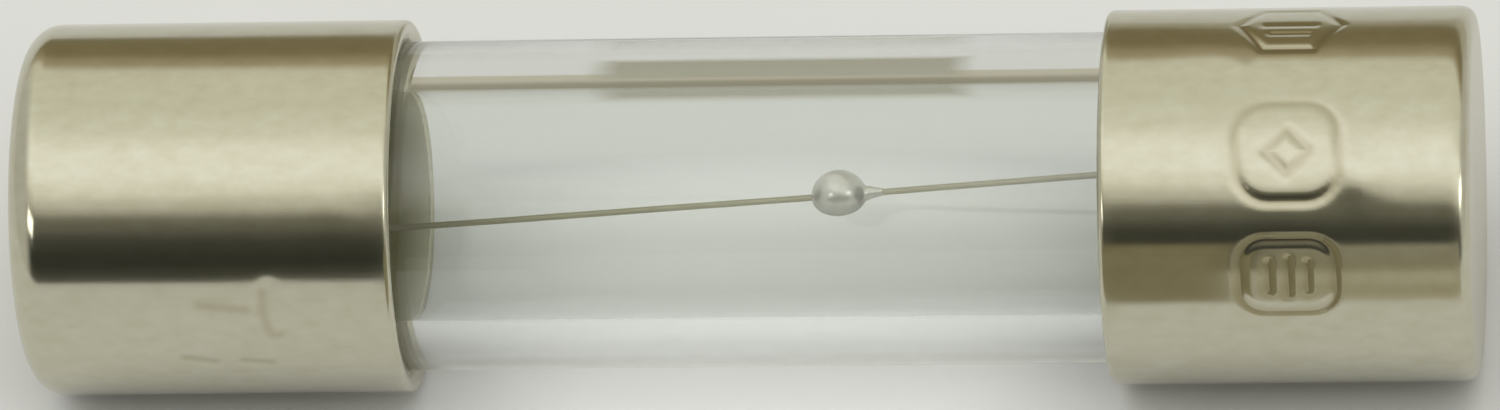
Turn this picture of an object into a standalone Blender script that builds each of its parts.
"""A 5 x 20 mm time-lag glass cartridge fuse, modelled piece by piece.

The fuse lies along X with its centre at the origin. Two drawn metal caps close a glass tube,
a pool of solder in each cap holds one end of the fuse wire, and the wire crosses the tube
at a slant with a bead of tin on it. Run it with: blender --background --python part.py
"""
import math

import bmesh
import bpy
from mathutils import Matrix, Vector

# Driving dimensions, in metres.
FUSE_LENGTH = 0.0200            # over the two end faces
CAP_DIAMETER = 0.00515
LEFT_CAP_LENGTH = 0.0053        # the two caps aren't drawn to quite the same depth and corner
RIGHT_CAP_LENGTH = 0.00504
LEFT_CAP_CORNER = 0.00045       # outside radius round the closed end
RIGHT_CAP_CORNER = 0.00031
CAP_SHEET = 0.00027             # thickness of the drawn sheet, wall and end alike
PUNCH_CORNER = 0.00003          # the sharpest corner that the punch leaves inside a cap
CAP_LIP = 0.00016               # rounding of the mouth's outer edge
GLASS_WALL = 0.00067
GLASS_EDGE = 0.00012            # radius of the melted edges of the tube
SOLDER_BED = 0.00020            # solder between the cap's floor and the end of the tube
SOLDER_CROWN = 0.00045          # height of the solder's domed top inside the bore
SOLDER_SHOULDER = 0.00012       # how far the solder stands up the bore at its rim
SOLDER_UNDER_WIRE = 0.00008     # solder left below the wire's end
WIRE_DIAMETER = 0.00009
WIRE_END_OFFSET = 0.00088       # how far below or above the axis each end of the wire is
BEAD_LENGTH = 0.00092
BEAD_DIAMETER = 0.00064
BEAD_STATION = 0.00130          # the bead's place along the axis, from the middle
BEAD_TAPER = 0.55               # 0 is an ellipsoid, and more draws the tail out

# Clearances, in metres. The sheet is only 0.27 mm thick, so they are far below it.
GLASS_FIT = 0.00003             # cap's wall to tube, and solder to the tube's bore
SEAT_FIT = 0.00002              # faces that rest on each other along the axis
WIRE_FIT = 0.000012             # wire to the solder and the bead round it

# Facets.
TURN_STEPS = 64
BEAD_STEPS = 24
ARC_STEPS = 6
DOME_STEPS = 8
BEAD_RINGS = 14
CUTTER_SIDES = 16
AXIS_MERGE = 0.000001           # joins only the points that lie on the turning axis

# What follows from them.
CAP_RADIUS = CAP_DIAMETER / 2
CAP_BORE = CAP_RADIUS - CAP_SHEET
GLASS_RADIUS = CAP_BORE - GLASS_FIT
GLASS_BORE = GLASS_RADIUS - GLASS_WALL
BED_BOTTOM = CAP_SHEET + SEAT_FIT
BED_TOP = BED_BOTTOM + SOLDER_BED
TUBE_START = BED_TOP + SEAT_FIT
GLASS_LENGTH = FUSE_LENGTH - 2 * TUBE_START
WIRE_RADIUS = WIRE_DIAMETER / 2
WIRE_END = FUSE_LENGTH / 2 - BED_BOTTOM - SOLDER_UNDER_WIRE
HALF_FACET = math.pi / TURN_STEPS


def clear_scene():
    for old in list(bpy.data.objects):
        bpy.data.objects.remove(old)


def new_collection(name):
    collection = bpy.data.collections.new(name)
    bpy.context.scene.collection.children.link(collection)
    return collection


def new_material(name, colour, roughness, metallic, transmission=0.0):
    material = bpy.data.materials.new(name)
    material.use_nodes = True
    shader = material.node_tree.nodes["Principled BSDF"]
    shader.inputs["Base Color"].default_value = (*colour, 1.0)
    shader.inputs["Roughness"].default_value = roughness
    shader.inputs["Metallic"].default_value = metallic
    shader.inputs["Transmission Weight"].default_value = transmission
    return material


def arc(centre, radius, start, end, steps=ARC_STEPS):
    """Points of a round corner in a (radius, height) outline, angles in degrees."""
    points = []
    for step in range(steps + 1):
        angle = math.radians(start + (end - start) * step / steps)
        points.append((centre[0] + radius * math.cos(angle), centre[1] + radius * math.sin(angle)))
    return points


def turned(name, outline, material, collection, closed=False, steps=TURN_STEPS):
    """A solid turned about its local Z from (radius, height) points down its outer side."""
    mesh = bpy.data.meshes.new(name)
    profile = bmesh.new()
    points = [profile.verts.new((radius, 0.0, height)) for radius, height in outline]
    for first, second in zip(points, points[1:]):
        profile.edges.new((first, second))
    if closed:
        profile.edges.new((points[-1], points[0]))
    profile.to_mesh(mesh)
    profile.free()
    piece = bpy.data.objects.new(name, mesh)
    collection.objects.link(piece)
    screw = piece.modifiers.new("turn", "SCREW")
    screw.axis = "Z"
    screw.steps = steps
    screw.render_steps = steps
    screw.use_merge_vertices = True
    screw.merge_threshold = AXIS_MERGE
    screw.use_smooth_shade = True
    mesh.materials.append(material)
    return piece


def lay_along_x(piece, side, station):
    """Turns local Z to point at the middle of the fuse from the end that side names, -1 or 1.

    The spin of half a facet puts a flat, and not a ridge, at the bottom of every round piece.
    """
    lie = Matrix.Rotation(-side * math.pi / 2, 3, "Y")
    spin = Matrix.Rotation(HALF_FACET, 3, "Z")
    piece.rotation_euler = (lie @ spin).to_euler()
    piece.location = (side * station, 0.0, 0.0)


def wire_point(station):
    """The middle of the wire at a place along the axis: it rises evenly from left to right."""
    return Vector((station, 0.0, WIRE_END_OFFSET * station / WIRE_END))


def wire_turn():
    """The rotation that lays local Z along the wire, towards its right end."""
    return (wire_point(WIRE_END) - wire_point(-WIRE_END)).to_track_quat("Z", "Y").to_euler()


def inside_corner(corner):
    """The radius inside a cap's corner: the outside one less the sheet, as far as a punch can go."""
    return max(corner - CAP_SHEET, PUNCH_CORNER)


def end_cap(name, side, length, corner, material, collection):
    """A cup drawn from sheet: flat end, round corner, straight wall and a rounded lip."""
    inner = inside_corner(corner)
    floor_turn = (CAP_BORE - inner, CAP_SHEET + inner)
    lip_turn = (CAP_RADIUS - CAP_LIP, length - CAP_LIP)
    heel_turn = (CAP_RADIUS - corner, corner)
    outline = [(0.0, CAP_SHEET)]
    outline += arc(floor_turn, inner, -90, 0)
    outline += [(CAP_BORE, length)]
    outline += arc(lip_turn, CAP_LIP, 90, 0)
    outline += arc(heel_turn, corner, 0, -90)
    outline += [(0.0, 0.0)]
    cap = turned(name, outline, material, collection)
    lay_along_x(cap, side, FUSE_LENGTH / 2)
    return cap


def glass_tube(material, collection):
    """An open tube with melted edges, which stops on the solder bed at each end."""
    inner = GLASS_BORE + GLASS_EDGE
    outer = GLASS_RADIUS - GLASS_EDGE
    top = GLASS_LENGTH - GLASS_EDGE
    outline = arc((inner, GLASS_EDGE), GLASS_EDGE, 270, 180)
    outline += arc((inner, top), GLASS_EDGE, 180, 90)
    outline += arc((outer, top), GLASS_EDGE, 90, 0)
    outline += arc((outer, GLASS_EDGE), GLASS_EDGE, 0, -90)
    tube = turned("glass_tube", outline, material, collection, closed=True)
    lay_along_x(tube, -1, GLASS_LENGTH / 2)
    return tube


def solder_joint(name, side, corner, material, collection, cutters):
    """A pool in the cap's floor: a bed under the tube and a dome in its bore, holding the wire."""
    bed_radius = CAP_BORE - inside_corner(corner) - GLASS_FIT
    dome_radius = GLASS_BORE - GLASS_FIT
    shoulder = BED_TOP + SEAT_FIT + SOLDER_SHOULDER
    outline = []
    for step in range(DOME_STEPS + 1):
        part = step / DOME_STEPS
        outline.append((dome_radius * part, shoulder + SOLDER_CROWN * (1 - part * part)))
    outline += [(dome_radius, BED_TOP), (bed_radius, BED_TOP), (bed_radius, BED_BOTTOM)]
    outline += [(0.0, BED_BOTTOM)]
    joint = turned(name, outline, material, collection)
    lay_along_x(joint, side, FUSE_LENGTH / 2)

    # The socket that the wire's end sits in is bored along the wire.
    inside = wire_point(side * (WIRE_END - SOLDER_CROWN * 3))
    bottom = wire_point(side * (WIRE_END + WIRE_FIT))
    drill = bpy.data.meshes.new(name + "_drill")
    shape = bmesh.new()
    bmesh.ops.create_cone(shape, cap_ends=True, segments=CUTTER_SIDES,
                          radius1=WIRE_RADIUS + WIRE_FIT, radius2=WIRE_RADIUS + WIRE_FIT,
                          depth=(bottom - inside).length)
    shape.to_mesh(drill)
    shape.free()
    cutter = bpy.data.objects.new(name + "_drill", drill)
    cutter.location = (inside + bottom) / 2
    cutter.rotation_euler = wire_turn()
    cutter.hide_render = True
    cutter.display_type = "WIRE"
    cutters.objects.link(cutter)
    bore = joint.modifiers.new("wire_socket", "BOOLEAN")
    bore.operation = "DIFFERENCE"
    bore.object = cutter
    return joint


def fuse_wire(material, collection):
    """One straight wire from solder to solder."""
    path = bpy.data.curves.new("fuse_wire", "CURVE")
    path.dimensions = "3D"
    path.bevel_depth = WIRE_RADIUS
    path.bevel_resolution = 4
    path.use_fill_caps = True
    run = path.splines.new("POLY")
    run.points.add(1)
    for point, station in zip(run.points, (-WIRE_END, WIRE_END)):
        point.co = (*wire_point(station), 1.0)
    path.materials.append(material)
    wire = bpy.data.objects.new("fuse_wire", path)
    collection.objects.link(wire)
    return wire


def tin_bead(material, collection):
    """A drop of tin round the wire, blunt on the left and drawn out along the wire on the right."""
    bore = WIRE_RADIUS + WIRE_FIT
    thinnest = bore + WIRE_FIT
    half = BEAD_LENGTH / 2
    rings = []
    for ring in range(BEAD_RINGS + 1):
        angle = math.pi * ring / BEAD_RINGS
        drop = math.sin(angle) * math.sin(angle / 2) ** BEAD_TAPER
        rings.append((drop, half * math.cos(angle)))
    widest = max(drop for drop, height in rings)
    outline = []
    for drop, height in rings:
        outline.append((max(thinnest, BEAD_DIAMETER / 2 * drop / widest), height))
    outline += [(bore, -half), (bore, half)]
    bead = turned("tin_bead", outline, material, collection, closed=True, steps=BEAD_STEPS)
    bead.rotation_euler = wire_turn()
    bead.location = wire_point(BEAD_STATION)
    return bead


def main():
    clear_scene()
    fuse = new_collection("cartridge_fuse")
    cutters = new_collection("cutters")
    nickel = new_material("nickel_plate", (0.66, 0.62, 0.48), 0.16, 1.0)
    glass = new_material("clear_glass", (0.86, 0.90, 0.86), 0.03, 0.0, transmission=1.0)
    solder = new_material("solder", (0.56, 0.55, 0.50), 0.38, 1.0)
    copper = new_material("silvered_wire", (0.55, 0.50, 0.33), 0.30, 1.0)
    tin = new_material("tin", (0.72, 0.72, 0.66), 0.18, 1.0)

    glass_tube(glass, fuse)
    ends = (("left", -1, LEFT_CAP_LENGTH, LEFT_CAP_CORNER),
            ("right", 1, RIGHT_CAP_LENGTH, RIGHT_CAP_CORNER))
    for name, side, cap_length, corner in ends:
        end_cap(name + "_end_cap", side, cap_length, corner, nickel, fuse)
        solder_joint(name + "_solder_joint", side, corner, solder, fuse, cutters)
    fuse_wire(copper, fuse)
    tin_bead(tin, fuse)


main()
